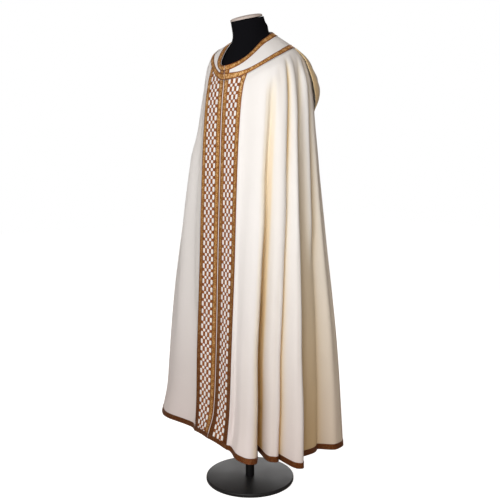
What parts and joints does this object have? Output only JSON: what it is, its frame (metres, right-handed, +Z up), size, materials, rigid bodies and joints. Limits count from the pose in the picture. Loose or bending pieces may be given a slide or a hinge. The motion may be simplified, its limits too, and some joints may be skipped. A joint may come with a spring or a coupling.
{
  "type": "cope vestment on a dress form",
  "caption": "Long open-fronted liturgical cloak in cream wool with gold braid, woven front bands and a small hood, draped on a limbless dress form on a round base.",
  "frame": {"origin": "middle of the stand's underside, below the middle of the neck", "axes": "+Z up the pole, -Y the way the wearer's front faces, +X towards the wearer's left"},
  "size_m": [0.7747, 0.4968, 1.6526],
  "materials": {
    "cream_wool": "matte woven wool, soft nap",
    "gold_gallon": "woven braid with metallic gold thread",
    "check_band": "woven rust and white check with gold flecks",
    "black_jersey": "matte jersey cover",
    "pale_cap": "matte",
    "dark_steel": "satin dark paint"
  },
  "bodies": {
    "root": {"body_left": "cream_wool", "body_right": "cream_wool", "yoke": "cream_wool", "hood": "cream_wool", "neckline_gallon": "gold_gallon", "yoke_edge_gallon": "gold_gallon", "yoke_front_gallon_left": "gold_gallon", "yoke_front_gallon_right": "gold_gallon", "orphrey_band_left": "check_band", "orphrey_band_right": "check_band", "orphrey_inner_gallon_left": "gold_gallon", "orphrey_inner_gallon_right": "gold_gallon", "orphrey_outer_gallon_left": "gold_gallon", "orphrey_outer_gallon_right": "gold_gallon", "hem_gallon_left": "gold_gallon", "hem_gallon_right": "gold_gallon", "form_torso": "black_jersey", "form_cap": "pale_cap", "form_pole": "dark_steel", "form_base": "dark_steel"}
  },
  "joints": []
}
